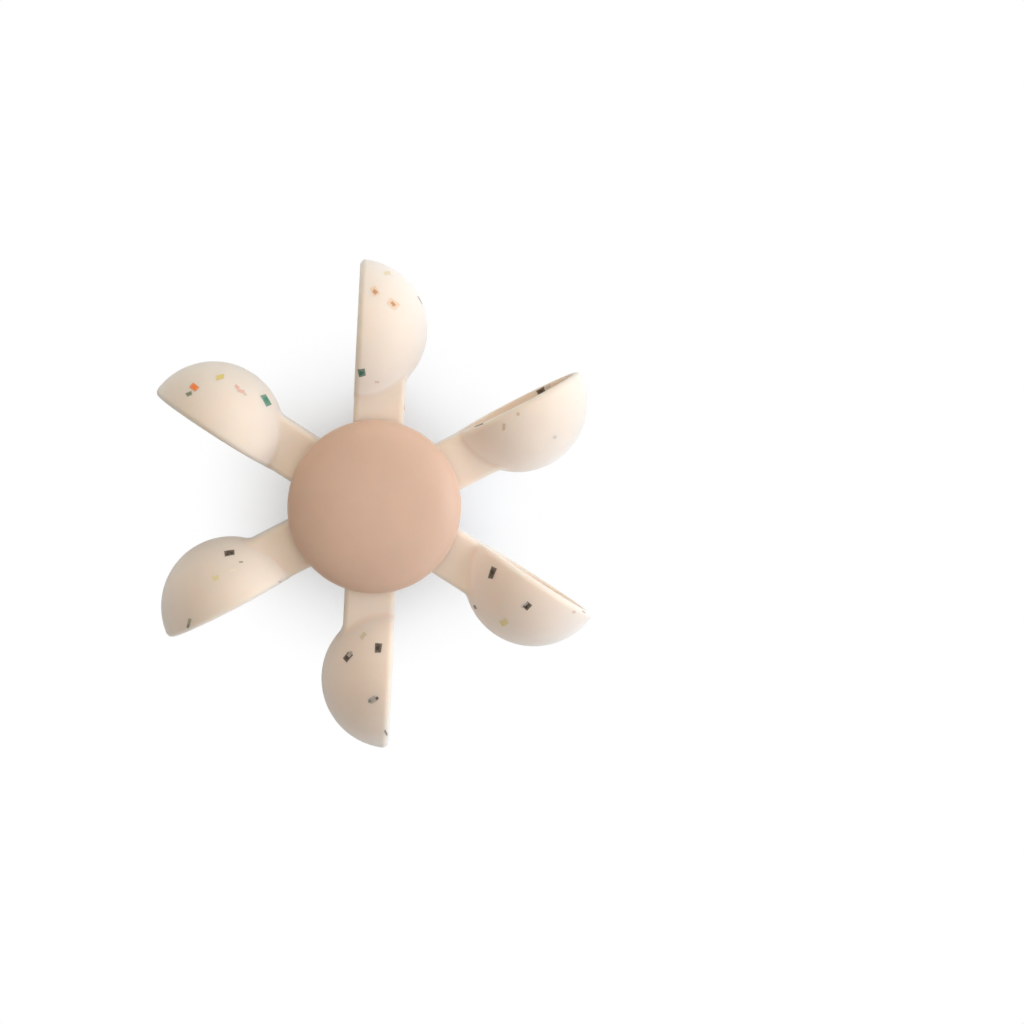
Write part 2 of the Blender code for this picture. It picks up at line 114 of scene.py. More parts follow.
BUSH_FLANGE = 0.0013
BUSH_FLANGE_WIDTH = 0.0021
BUSH_RADIUS = bush_high.x - BUSH_FLANGE_WIDTH
BUSH_BORE = 0.0048
axle_low, axle_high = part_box("axle_post")
AXLE_RADIUS = 0.0045
FLANGE_THICKNESS = 0.003
TAIL_NECK_RADIUS = 0.004
TAIL_HEAD_RADIUS = 0.006
TAIL_HEAD_HEIGHT = 0.0028
AXLE_PILOT_RADIUS = 0.0019
AXLE_PILOT_DEPTH = 0.0134
suction_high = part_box("suction_cup")[1]
SUCTION_INSET = 0.001  # how far the lip keeps inside the frame's, where the hub hides it
SUCTION_RADIUS = suction_high.x - SUCTION_INSET
SUCTION_HOLLOW = 0.0042
SUCTION_WEB = 0.0022
SUCTION_LIP = 0.0012
SEAL_WIDTH = 0.003
NECK_RADIUS = 0.0095
NECK_LENGTH = 0.0037
TAB_WIDTH = 0.009
TAB_THICKNESS = 0.0016
TAB_LIFT = 0.0004
TAB_CORNER = 0.003

# Fineness of turned shapes
TURNED_STEPS = 144
ROD_STEPS = 32
CURVE_STEPS = 24
CORNER_STEPS = 4
ROUND_PROFILE = 0.5  # of a bevel
SHARP_ANGLE = math.radians(40)
AXIS_MERGE = 0.000001

# Silicone
CREAM = (0.872, 0.723, 0.597)
BLUSH = (0.754, 0.518, 0.399)
CREAM_FINISH = {"Roughness": 0.5, "Specular_IOR_Level": 0.2}
BLUSH_FINISH = {"Roughness": 0.42, "Specular_IOR_Level": 0.4}
SILICONE_IOR = 1.41
SILICONE_SHADE = 0.965  # colour of the darker patches, as a share of the lighter ones
SILICONE_GRAIN = (0.0004, 0.00005)  # size and depth
SCATTER_SHARE = 0.9
SCATTER_DEPTH = 0.003
SUCTION_SCATTER_DEPTH = 0.004
SCATTER_COLOUR = (1.0, 0.72, 0.55)
SHEEN_ROUGHNESS = 0.8

# Plastic and steel
BLUSH_PLASTIC = (0.66, 0.43, 0.31)
WHITE_PLASTIC = (0.82, 0.80, 0.76)
ACETAL = (0.87, 0.87, 0.84)
PLASTIC_SHADE = 0.96
PLASTIC_GRAIN = (0.0003, 0.00002)
STEEL = (0.60, 0.60, 0.61)
DULL_STEEL = (0.54, 0.54, 0.55)
STEEL_GRAIN = (0.0002, 0.00001)

# Unevenness of every surface
COLOUR_PATCH = 0.012
GLOSS_PATCH = 0.004
GLOSS_SPREAD = 0.05
GRAIN_STRENGTH = 0.2
PATCH_DETAIL = 3.0
GRAIN_DETAIL = 2.0
NOISE_RANGE = (0.35, 0.65)  # the middle of the noise, which spans the whole change

# Chips in the silicone
CHIP_PROUD = 0.00002
CHIP_LAYER = 0.000005  # how much prouder each later chip is, where chips lie over each other
CHIP_DEPTH = 0.0003
CHIP_CELLS = (4, 3)
CHIP_STRAY = 0.18  # how far a corner strays, as a share of half the chip
STEEPEST_CHIP = 0.3  # least facing of a surface, as a cosine, that a chip is lengthened for
CHIP_SEED = 11
HIDDEN_CHIPS = 18  # on each paddle, where the camera doesn't see it
HIDDEN_LENGTHS = (0.0012, 0.0036)
HIDDEN_WIDTHS = (0.0008, 0.0022)
CHIP_VEIL = 0.12  # most silicone over the middle of a chip, as a share
VEIL_PATCH = 0.0012
EDGE_VEIL = 0.2  # silicone over the edge of a chip
CHIP_COLOURS = {
    "charcoal": (0.043, 0.026, 0.019),
    "umber": (0.095, 0.066, 0.050),
    "slate": (0.260, 0.240, 0.220),
    "ash": (0.480, 0.430, 0.390),
    "mist": (0.700, 0.640, 0.580),
    "lilac": (0.450, 0.420, 0.430),
    "teal": (0.040, 0.150, 0.108),
    "fern": (0.220, 0.260, 0.170),
    "moss": (0.400, 0.380, 0.280),
    "green": (0.058, 0.275, 0.185),
    "orange": (0.980, 0.240, 0.045),
    "tan": (0.560, 0.285, 0.140),
    "apricot": (0.700, 0.420, 0.250),
    "peach": (0.870, 0.610, 0.430),
    "blush": (0.780, 0.600, 0.490),
    "yellow": (0.800, 0.640, 0.200),
    "straw": (0.830, 0.720, 0.390),
    "olive": (0.850, 0.710, 0.360),
    "butter": (0.850, 0.720, 0.500),
    "sage": (0.730, 0.650, 0.480),
    "pink": (0.830, 0.480, 0.400),
    "rose": (0.740, 0.510, 0.390),
    "pearl": (0.930, 0.810, 0.680),
}

# Chips that show, for each paddle: pixel across and down, length and width in pixels, turn in degrees, colour
SEEN_CHIPS = {
    1: [
        (375, 291, 9, 7, -60, "peach"),
        (375, 292, 5, 4, -40, "tan"),
        (393, 304, 10, 8, -40, "peach"),
        (393, 304, 5, 3, -50, "tan"),
        (362, 373, 8, 7, 10, "teal"),
        (377, 382, 4, 2, 0, "blush"),
        (420, 300, 9, 2, -60, "ash"),
        (387, 273, 6, 4, 10, "butter"),
    ],
    2: [
        (194, 387, 9, 7, -35, "orange"),
        (189, 394, 6, 4, 25, "fern"),
        (220, 377, 8, 5, 15, "yellow"),
        (237, 387, 5, 3, -40, "pink"),
        (241, 391, 7, 3, -20, "pink"),
        (245, 394, 4, 2, -50, "blush"),
        (266, 400, 13, 5, -58, "green"),
    ],
    3: [
        (229, 553, 10, 5, 10, "charcoal"),
        (241, 562, 4, 2, 0, "moss"),
        (233, 570, 7, 3, 10, "pearl"),
        (216, 578, 6, 4, 20, "straw"),
        (189, 623, 8, 3, 75, "moss"),
        (188, 626, 4, 2, 75, "slate"),
        (280, 582, 3, 2, 30, "mist"),
    ],
    4: [
        (378, 648, 9, 7, 87, "charcoal"),
        (348, 657, 10, 6, 50, "charcoal"),
        (350, 654, 6, 3, 50, "ash"),
        (373, 700, 8, 6, 28, "ash"),
        (377, 698, 3, 3, 40, "umber"),
        (370, 701, 4, 3, 25, "slate"),
        (363, 636, 7, 4, 55, "sage"),
        (386, 733, 6, 2, -65, "slate"),
    ],
    5: [
        (492, 573, 11, 5, 70, "charcoal"),
        (523, 606, 4, 3, 42, "mist"),
        (527, 606, 7, 6, 45, "charcoal"),
        (526, 604, 4, 2, 45, "lilac"),
        (504, 623, 7, 6, 30, "olive"),
        (475, 607, 4, 2, -60, "slate"),
        (574, 612, 3, 3, 0, "blush"),
        (584, 612, 4, 1, -35, "ash"),
    ],
    6: [
        (541, 391, 9, 5, 27, "umber"),
        (548, 387, 5, 3, 27, "mist"),
        (479, 425, 9, 1, 20, "slate"),
        (504, 427, 7, 3, 85, "rose"),
        (518, 414, 3, 3, 0, "rose"),
        (555, 437, 4, 3, 60, "mist"),
    ],
}

# Light: an even room and soft lamps, each with its level on a surface that faces it
FLOOR_SIDE = 8.0
FLOOR_COLOUR = (0.85, 0.85, 0.85)
FLOOR_SEEN = (0.98, 1.08, 1.20)  # keeps the shadow neutral in the warm light beside the wheel
FLOOR_FADE = (0.005, 0.062)  # from the axle, where the shadow gives way to plain white
WARM = (1.05, 1.0, 0.89)
COOL = (0.92, 1.0, 1.10)
ROOM_LEVEL = 0.196
LAMP_SIDE = 1.2
LAMP_DISTANCE = 1.6
LAMPS = {  # turn about the axle from +X, height over the table, level, colour
    "near_right": (math.radians(-25), math.radians(22), 0.23, COOL),
    "right": (math.radians(10), math.radians(22), 0.55, COOL),
    "far": (math.radians(85), math.radians(30), 0.29, WARM),
    "top": (0.0, math.radians(90), 0.315, WARM),
}


def linked(obj):
    """An object once it is in the scene."""
    bpy.context.scene.collection.objects.link(obj)
    return obj


def view_axes():
    """The camera's right, up and back directions and its place."""
    back = Vector((*CAMERA_LEAN, 1.0)).normalized()
    upright = Vector((-math.sin(CAMERA_ROLL), math.cos(CAMERA_ROLL), 0.0))
    right = upright.cross(back).normalized()
    place = Vector((*CAMERA_TARGET, WHEEL_Z)) + back * CAMERA_DISTANCE
    return right, back.cross(right), back, place


def add_camera():
    data = bpy.data.cameras.new("camera")
    data.lens = LENS
    data.sensor_width = SENSOR
    camera = linked(bpy.data.objects.new("camera", data))
    right, up, back, place = view_axes()
    camera.matrix_world = Matrix.Translation(place) @ Matrix((right, up, back)).transposed().to_4x4()
    bpy.context.scene.camera = camera


def new_object(name, mesh, *materials):
    mesh.materials.clear()
    for material in materials:
        mesh.materials.append(material)
    return linked(bpy.data.objects.new(name, mesh))


def add_piece(node, mesh, material, body):
    """A finished piece that stands for a node of the frame."""
    piece = new_object(f"{node}_skin", mesh, material)
    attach(piece, body)
    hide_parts(node)


def mesh_from(bm, name):
    mesh = bpy.data.meshes.new(name)
    bm.to_mesh(mesh)
    bm.free()
    mesh.shade_smooth()
    mesh.set_sharp_from_angle(angle=SHARP_ANGLE)
    return mesh


def round_union(first, second, radius):
    """Distance to two shapes joined with a fillet."""
    blend = np.hypot(np.maximum(radius - first, 0), np.maximum(radius - second, 0))
    return np.maximum(radius, np.minimum(first, second)) - blend


def round_overlap(first, second, radius):
    """Distance to what two shapes share, with a rounded edge."""
    blend = np.hypot(np.maximum(radius + first, 0), np.maximum(radius + second, 0))
    return np.minimum(-radius, np.maximum(first, second)) + blend


def box_distance(points, low, high, radius):
    """Distance to a box with rounded edges."""
    beyond = np.abs(points - (low + high) / 2) - (high - low) / 2 + radius
    return np.linalg.norm(np.maximum(beyond, 0), axis=1) + np.minimum(beyond.max(axis=1), 0) - radius


def paddle_distance(points):
    """Distance to a paddle along +X that opens towards +Y, with the middle of the hub as its origin."""
    from_cup = np.linalg.norm(points - CUP_PLACE, axis=1)
    past_rim = points[:, 1] - RIM_PLANE
    ball = round_overlap(from_cup - CUP_RADIUS, past_rim, RIM_ROUND)
    arm_low = np.array((ARM_ROOT, -ARM_WIDTH / 2, -ARM_THICKNESS / 2))
    arm_high = np.array((CUP_PLACE[0], ARM_WIDTH / 2, ARM_THICKNESS / 2))
    arm = box_distance(points, arm_low, arm_high, ARM_ROUND)
    outside = np.maximum(round_union(ball, arm, CUP_FILLET), past_rim)
    shell = round_overlap(outside, CUP_RADIUS - CUP_WALL - from_cup, LIP_ROUND)
    eyelet = EYELET_RADIUS - np.hypot(points[:, 0] - POST_CIRCLE, points[:, 1])
    return np.maximum(shell, eyelet)


def slope(points):
    """Outward unit normals of the paddle's distance."""
    steps = SLOPE_STEP * np.eye(3)
    sides = [paddle_distance(points + step) - paddle_distance(points - step) for step in steps]
    normals = np.stack(sides, axis=1)
    return normals / np.maximum(np.linalg.norm(normals, axis=1, keepdims=True), SLOPE_STEP**2)


def onto_paddle(points, rounds=PROJECT_ROUNDS):
    """Points moved onto the paddle's surface."""
    for _ in range(rounds):
        points = points - paddle_distance(points)[:, None] * slope(points)
    return points


def skin_cells(low, high):
    """One point for each grid cell that the paddle's surface crosses, and the quads that join them."""
    axes = [np.arange(a, b + SKIN_CELL, SKIN_CELL) for a, b in zip(low, high)]
    shape = tuple(len(axis) for axis in axes)
    grid = np.stack(np.meshgrid(*axes, indexing="ij"), axis=-1).reshape(-1, 3)
    inside = (paddle_distance(grid) < 0).reshape(shape)
    count = sum(
        inside[i : shape[0] - 1 + i, j : shape[1] - 1 + j, k : shape[2] - 1 + k].astype(int)
        for i in (0, 1)
        for j in (0, 1)
        for k in (0, 1)
    )
    cells = np.argwhere((count > 0) & (count < CELL_CORNERS))
    number = np.full(count.shape, -1)
    number[tuple(cells.T)] = np.arange(len(cells))
    quads = []
    for axis in range(3):
        first = np.take(inside, range(shape[axis] - 1), axis)
        second = np.take(inside, range(1, shape[axis]), axis)
        for goes_out in (True, False):
            at = np.argwhere((first == goes_out) & (second != goes_out))
            around = [at.copy() for _ in range(4)]
            for corner, (a, b) in zip(around, ((1, 1), (0, 1), (0, 0), (1, 0))):
                corner[:, (axis + 1) % 3] -= a
                corner[:, (axis + 2) % 3] -= b
            ring = np.stack([number[tuple(corner.T)] for corner in around], axis=1)
            quads.append(ring if goes_out else ring[:, ::-1])
    return np.array(low) + (cells + 0.5) * SKIN_CELL, np.concatenate(quads)


def relaxed(points, quads):
    """Points moved to the middle of their neighbours along the surface, so that the quads are even."""
    for _ in range(RELAX_ROUNDS):
        total, count = np.zeros_like(points), np.zeros(len(points))
        for a, b in ((0, 1), (1, 2), (2, 3), (3, 0)):
            for here, there in ((quads[:, a], quads[:, b]), (quads[:, b], quads[:, a])):
                np.add.at(total, here, points[there])
                np.add.at(count, here, 1)
        points = onto_paddle(total / count[:, None], RELAX_PROJECT_ROUNDS)
    return points


def paddle_mesh():
    """The paddle's smooth skin: a round cup on an arm, with fillets and a soft rim."""
    margin = 2 * SKIN_CELL
    low = (ARM_ROOT - margin, RIM_PLANE - CUP_RADIUS - margin, -CUP_RADIUS - margin)
    high = (CUP_PLACE[0] + CUP_RADIUS + margin, RIM_PLANE + margin, CUP_RADIUS + margin)
    points, quads = skin_cells(low, high)
    points = relaxed(onto_paddle(points), quads)
    mesh = bpy.data.meshes.new("paddle")
    mesh.from_pydata(points.tolist(), [], quads.tolist())
    mesh.shade_smooth()
    return mesh


def paddle_matrix(number):
    turn = Matrix.Rotation(PADDLE_TURNS[number - 1], 4, "Z")
    twist = Matrix.Rotation(PADDLE_TWISTS.get(number, 0.0), 4, "X")
    return Matrix.Translation((0.0, 0.0, WHEEL_Z)) @ turn @ twist


def seen_point(inverse, across, down):
    """Where the camera's ray through a pixel meets a paddle, in the paddle's own axes."""
    right, up, back, place = view_axes()
    pixel = SENSOR / LENS / IMAGE_SIDE
    ray = (across - IMAGE_SIDE / 2) * pixel * right - (down - IMAGE_SIDE / 2) * pixel * up - back
    ray = np.array((inverse.to_3x3() @ ray).normalized())
    point = np.array(inverse @ place)
    for _ in range(TRACE_ROUNDS):
        point = point + ray * paddle_distance(point[None])[0]
    return point


def chip_places(draw):
    """Places across a chip, column by column, inside four corners that stray a little."""
    columns, rows = CHIP_CELLS
    square = np.array([[(-1, -1), (-1, 1)], [(1, -1), (1, 1)]])
    corners = square + draw.uniform(-CHIP_STRAY, CHIP_STRAY, square.shape)
    u = np.linspace(0, 1, columns + 1)[:, None, None]
    v = np.linspace(0, 1, rows + 1)[None, :, None]
    low_side = (1 - u) * corners[0, 0] + u * corners[1, 0]
    high_side = (1 - u) * corners[0, 1] + u * corners[1, 1]
    return ((1 - v) * low_side + v * high_side).reshape(-1, 2)


def add_chip(bm, draw, middle, along, side, colour, proud=CHIP_PROUD):
    """A thin closed plate let into the paddle's surface."""
    columns, rows = CHIP_CELLS
    surface = onto_paddle(np.array([middle + a * along + b * side for a, b in chip_places(draw)]))
    normals = slope(surface)
    top = [bm.verts.new(p) for p in surface + proud * normals]
    bottom = [bm.verts.new(p) for p in surface - CHIP_DEPTH * normals]

    def ring(layer, *places):
        return [layer[i * (rows + 1) + j] for i, j in places]

    faces = []
    for i in range(columns):
        for j in range(rows):
            cell = ((i, j), (i + 1, j), (i + 1, j + 1), (i, j + 1))
            faces.append(bm.faces.new(ring(top, *cell)))
            faces.append(bm.faces.new(ring(bottom, *reversed(cell))))
    rim = [(i, 0) for i in range(columns)] + [(columns, j) for j in range(rows)]
    rim += [(i, rows) for i in range(columns, 0, -1)] + [(0, j) for j in range(rows, 0, -1)]
    for here, there in zip(rim, rim[1:] + rim[:1]):
        faces.append(bm.faces.new(ring(top, there, here) + ring(bottom, here, there)))
    plain = np.array(CHIP_COLOURS[colour])
    veiled = plain + EDGE_VEIL * (np.array(CREAM) - plain)
    edge = set(ring(top, *rim))
    tint = bm.loops.layers.float_color["tint"]
    for face in faces:
        for loop in face.loops:
            loop[tint] = (*(veiled if loop.vert in edge else plain), 1.0)


def add_seen_chips(bm, draw, number):
    """The chips that show, each laid along the surface under its pixel, later ones over earlier ones."""
    inverse = paddle_matrix(number).inverted()
    right, up, back = (np.array(inverse.to_3x3() @ axis) for axis in view_axes()[:3])
    pixel = CAMERA_DISTANCE * SENSOR / LENS / IMAGE_SIDE
    for layer, (across, down, length, width, turn, colour) in enumerate(SEEN_CHIPS[number], start=1):
        middle = seen_point(inverse, across, down)
        normal = slope(middle[None])[0]
        facing = max(back @ normal, STEEPEST_CHIP)
        along = math.cos(math.radians(turn)) * right + math.sin(math.radians(turn)) * up
        side = np.cross(back, along)
        along, side = (v - back * (v @ normal) / facing for v in (along, side))
        proud = CHIP_PROUD + layer * CHIP_LAYER
        add_chip(bm, draw, middle, along * length * pixel / 2, side * width * pixel / 2, colour, proud)


def add_hidden_chips(bm, draw, number, skin):
    """Seeded chips in the cup and on the sides that the camera doesn't see."""
    colours = list(CHIP_COLOURS)
    toward = np.array(paddle_matrix(number).inverted().to_3x3() @ view_axes()[2])
    placed = 0
    while placed < HIDDEN_CHIPS:
        point = np.array(skin.vertices[draw.integers(len(skin.vertices))].co)
        normal = slope(point[None])[0]
        in_cup = np.linalg.norm(point - CUP_PLACE) < CUP_RADIUS - CUP_WALL / 2
        length, width = draw.uniform(*HIDDEN_LENGTHS), draw.uniform(*HIDDEN_WIDTHS)
        angle, colour = draw.uniform(0, math.pi), colours[draw.integers(len(colours))]
        by_edge = point[0] < HUB_RADIUS + length or point[1] > RIM_PLANE - length
        if by_edge or (not in_cup and normal @ toward > 0):
            continue
        first = np.cross(normal, CUP_PLACE - point)
        first /= np.linalg.norm(first)
        along = math.cos(angle) * first + math.sin(angle) * np.cross(normal, first)
        side = np.cross(normal, along)
        add_chip(bm, draw, point, along * length / 2, side * width / 2, colour)
        placed += 1


def build_paddles():
    """Six copies of the paddle's skin, each with chips of its own."""
    skin = paddle_mesh()
    cream = cream_silicone()
    chip_surface = chips()
    for number in range(1, PADDLE_COUNT + 1):
        place = paddle_matrix(number)
        mesh = skin.copy()
        mesh.transform(place)
        add_piece(f"paddle_{number}", mesh, cream, "wheel")
        draw = np.random.default_rng(CHIP_SEED + number)
        bm = bmesh.new()
        bm.loops.layers.float_color.new("tint")
        add_seen_chips(bm, draw, number)
        add_hidden_chips(bm, draw, number, skin)
        bmesh.ops.recalc_face_normals(bm, faces=bm.faces)
        bm.transform(place)
        inlay = new_object(f"paddle_{number}_chips", mesh_from(bm, "chips"), chip_surface)
        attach(inlay, "wheel")


def softened(profile):
    """A (radius, height, corner) outline as plain points, with each corner drawn as a short curve."""
    points = []
    for i, (radius, height, corner) in enumerate(profile):
        here = Vector((radius, height))
        if not corner:
            points.append(here)
            continue
        before = Vector(profile[i - 1][:2])
        after = Vector(profile[(i + 1) % len(profile)][:2])
        start = here + (before - here).normalized() * corner
        end = here + (after - here).normalized() * corner
        for t in np.linspace(0, 1, CORNER_STEPS + 1):
            points.append((1 - t) ** 2 * start + 2 * t * (1 - t) * here + t**2 * end)
    return points


def turned_mesh(name, profile, ring=False):
    """An outline of (radius, height, corner) points turned about the axle, closed on itself for a ring."""
    bm = bmesh.new()
    verts = [bm.verts.new((max(p[0], 0.0), 0.0, p[1])) for p in softened(profile)]
    pairs = list(zip(verts, verts[1:]))
    if ring:
        pairs.append((verts[-1], verts[0]))
    edges = [bm.edges.new(pair) for pair in pairs]
    bmesh.ops.spin(
        bm,
        geom=verts + edges,
        cent=(0, 0, 0),
        axis=(0, 0, 1),
        angle=2 * math.pi,
        steps=TURNED_STEPS,
        use_merge=True,
    )
    bmesh.ops.remove_doubles(bm, verts=bm.verts, dist=AXIS_MERGE)
    bmesh.ops.recalc_face_normals(bm, faces=bm.faces)
    return mesh_from(bm, name)


def washer_mesh(node, bore):
    """A flat washer with softened edges."""
    low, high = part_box(node)
    corners = ((bore, high.z), (high.x, high.z), (high.x, low.z), (bore, low.z))
    return turned_mesh(node, [(radius, height, SMALL_EDGE) for radius, height in corners], ring=True)


def six_copies(bm):
    """A shape on the first paddle's line, repeated for each paddle."""
    one = mesh_from(bm, "one")
    every = bmesh.new()
    for turn in PADDLE_TURNS:
        copy = one.copy()
        copy.transform(Matrix.Rotation(turn, 4, "Z"))
        every.from_mesh(copy)
    return mesh_from(every, "every")


def rods_mesh(radius, low, high):
    """An upright rod on each paddle's post."""
    place = Matrix.Translation((POST_CIRCLE, 0.0, (low + high) / 2))
    sizes = {"segments": ROD_STEPS, "radius1": radius, "radius2": radius, "depth": high - low}
    bm = bmesh.new()
    bmesh.ops.create_cone(bm, cap_ends=True, matrix=place, **sizes)
    return six_copies(bm)


def round_edges(bm, edges, radius, steps):
    sizes = {"offset": radius, "segments": steps, "profile": ROUND_PROFILE}
    bmesh.ops.bevel(bm, geom=edges, affect="EDGES", **sizes)


def windows_mesh():
    """A rounded block for each arm, where it passes through the hub's wall."""
    side = ARM_WIDTH / 2 + SEAT_GAP
    inner = math.sqrt(HUB_INSIDE**2 - side**2) - WALL / 2
    outer = HUB_RADIUS + WALL
    low = rear_low.z + WALL + SEAT_GAP / 2
    high = HUB_FRONT_Z - WALL - SEAT_GAP / 2
    size = Matrix.Diagonal((outer - inner, 2 * side, high - low, 1.0))
    place = Matrix.Translation(((inner + outer) / 2, 0.0, (low + high) / 2))
    bm = bmesh.new()
    bmesh.ops.create_cube(bm, size=1.0, matrix=place @ size)
    radial = [e for e in bm.edges if abs(e.verts[0].co.x - e.verts[1].co.x) > WALL]
    round_edges(bm, radial, ARM_ROUND, CORNER_STEPS)
    return six_copies(bm)


def combined(mesh, *steps):
    """A mesh after Booleans with others, each given with its operation."""
    objects = [linked(bpy.data.objects.new("whole", mesh))]
    for operation, other in steps:
        objects.append(linked(bpy.data.objects.new("other", other)))
        boolean = objects[0].modifiers.new("cut", "BOOLEAN")
        boolean.operation = operation
        boolean.object = objects[-1]
    bpy.context.view_layer.update()
    graph = bpy.context.evaluated_depsgraph_get()
    result = bpy.data.meshes.new_from_object(objects[0].evaluated_get(graph))
    for obj in objects:
        bpy.data.objects.remove(obj)
    result.shade_smooth()
    result.set_sharp_from_angle(angle=SHARP_ANGLE)
    return result


def dome(radius, base, rise):
    """Points down a superellipse dome, from its top on the axle to its edge."""
    turns = np.linspace(math.pi / 2, 0, CURVE_STEPS + 1)
    power = 2 / CAP_FULLNESS
    return [
        (radius * max(math.cos(t), 0.0) ** power, base + rise * math.sin(t) ** power, 0.0) for t in turns
    ]


def cap_mesh():
    base = cap_low.z + CAP_SKIRT
    rise = cap_high.z - base
    outside = dome(CAP_RADIUS, base, rise)
    inside = dome(CAP_RADIUS - CAP_WALL, base, rise - CAP_WALL)
    edge = [(CAP_RADIUS, cap_low.z, CAP_EDGE), (CAP_RADIUS - CAP_WALL, cap_low.z, CAP_EDGE / 2)]
    return turned_mesh("cap", outside + edge + inside[::-1])


def rear_shell_mesh():
    """Rear half of the hub: floor, bearing boss, windows for the arms and a post for each paddle."""
    split = WHEEL_Z - SEAT_GAP / 2
    floor = rear_low.z + WALL
    bore = BUSH_RADIUS + SEAT_GAP
    profile = [
        (bore, rear_high.z, SMALL_EDGE),
        (bore + WALL, rear_high.z, SMALL_EDGE),
        (bore + WALL, floor, SMALL_EDGE),
        (HUB_INSIDE, floor, SMALL_EDGE),
        (HUB_INSIDE, split, SMALL_EDGE),
        (HUB_RADIUS, split, SMALL_EDGE),
        (HUB_RADIUS, rear_low.z, HUB_EDGE),
        (bore, rear_low.z, SMALL_EDGE),
    ]
    pilot_low = screw_low.z - WALL / 2
    return combined(
        turned_mesh("rear_shell", profile, ring=True),
        ("DIFFERENCE", windows_mesh()),
        ("UNION", rods_mesh(POST_RADIUS, floor - WALL / 2, rear_high.z)),
        ("DIFFERENCE", rods_mesh(PILOT_RADIUS, pilot_low, HUB_FRONT_Z)),
    )


def front_shell_mesh():
    """Front half of the hub: roof with screw holes, windows for the arms and the cap's spigot."""
    split = WHEEL_Z + SEAT_GAP / 2
    roof = HUB_FRONT_Z - WALL
    opening = bush_high.x + 2 * SEAT_GAP
    bead = (HUB_FRONT_Z + front_high.z) / 2
    profile = [
        (opening, HUB_FRONT_Z, SMALL_EDGE),
        (SPIGOT_RADIUS - SPIGOT_WALL, HUB_FRONT_Z, SMALL_EDGE),
        (SPIGOT_RADIUS - SPIGOT_WALL, front_high.z, SMALL_EDGE),
        (SPIGOT_RADIUS, front_high.z, SMALL_EDGE),
        (SPIGOT_RADIUS, bead + BEAD_WIDTH / 2, 0.0),
        (SPIGOT_RADIUS + BEAD_HEIGHT, bead, SMALL_EDGE / 2),
        (SPIGOT_RADIUS, bead - BEAD_WIDTH / 2, 0.0),
        (SPIGOT_RADIUS, HUB_FRONT_Z, 0.0),
        (HUB_RADIUS, HUB_FRONT_Z, SMALL_EDGE),
        (HUB_RADIUS, split, SMALL_EDGE),
        (HUB_INSIDE, split, SMALL_EDGE),
        (HUB_INSIDE, roof, SMALL_EDGE),
        (opening, roof, SMALL_EDGE),
    ]
    return combined(
        turned_mesh("front_shell", profile, ring=True),
        ("DIFFERENCE", windows_mesh()),
        ("DIFFERENCE", rods_mesh(PILOT_RADIUS, WHEEL_Z, front_high.z)),
    )


def bush_mesh(node, sleeve_up):
    """Flanged bush, with its sleeve above or below its flange."""
    low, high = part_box(node)
    flange_z = low.z if sleeve_up else high.z
    sleeve_z = high.z if sleeve_up else low.z
    step_z = flange_z + math.copysign(BUSH_FLANGE, sleeve_z - flange_z)
    profile = [
        (BUSH_BORE, sleeve_z, SMALL_EDGE),
        (BUSH_RADIUS, sleeve_z, SMALL_EDGE),
        (BUSH_RADIUS, step_z, SMALL_EDGE),
        (high.x, step_z, SMALL_EDGE),
        (high.x, flange_z, SMALL_EDGE),
        (BUSH_BORE, flange_z, SMALL_EDGE),
    ]
    return turned_mesh(node, profile, ring=True)


def axle_mesh():
    """Axle with a pilot hole in front, a thrust flange and a barbed tail in the suction cup."""
    flange_z = suction_high.z + SEAT_GAP
    shoulder_z = flange_z + FLANGE_THICKNESS
    head_z = axle_low.z + TAIL_HEAD_HEIGHT
    pilot_z = axle_high.z - AXLE_PILOT_DEPTH
    profile = [
        (0.0, pilot_z, 0.0),
        (AXLE_PILOT_RADIUS, pilot_z, 0.0),
        (AXLE_PILOT_RADIUS, axle_high.z, SMALL_EDGE),
        (AXLE_RADIUS, axle_high.z, SMALL_EDGE),
        (AXLE_RADIUS, shoulder_z, SMALL_EDGE),
        (axle_high.x, shoulder_z, SMALL_EDGE),
        (axle_high.x, flange_z, SMALL_EDGE),
        (TAIL_NECK_RADIUS, flange_z, SMALL_EDGE),
        (TAIL_NECK_RADIUS, head_z, SMALL_EDGE),
        (TAIL_HEAD_RADIUS, head_z, SMALL_EDGE),
        (TAIL_HEAD_RADIUS, head_z - TAIL_HEAD_HEIGHT / 2, SMALL_EDGE),
        (TAIL_NECK_RADIUS, axle_low.z, SMALL_EDGE),
        (0.0, axle_low.z, 0.0),
    ]
    return turned_mesh("axle", profile)


def tab_mesh():
    """Pull tab on the suction lip, with its free corners rounded."""
    inner = SUCTION_RADIUS - SEAL_WIDTH / 2
    size = Vector((TAB_WIDTH, suction_high.y - inner, TAB_THICKNESS))
    middle = Vector((0.0, inner + size.y / 2, TAB_LIFT + TAB_THICKNESS / 2))
    bm = bmesh.new()
    bmesh.ops.create_cube(bm, size=1.0, matrix=Matrix.Translation(middle) @ Matrix.Diagonal((*size, 1.0)))
    upright = [e for e in bm.edges if abs(e.verts[0].co.z - e.verts[1].co.z) > TAB_THICKNESS / 2]
    corners = [e for e in upright if e.verts[0].co.y > middle.y]
    round_edges(bm, corners, TAB_CORNER, CORNER_STEPS * 2)
    return mesh_from(bm, "tab")


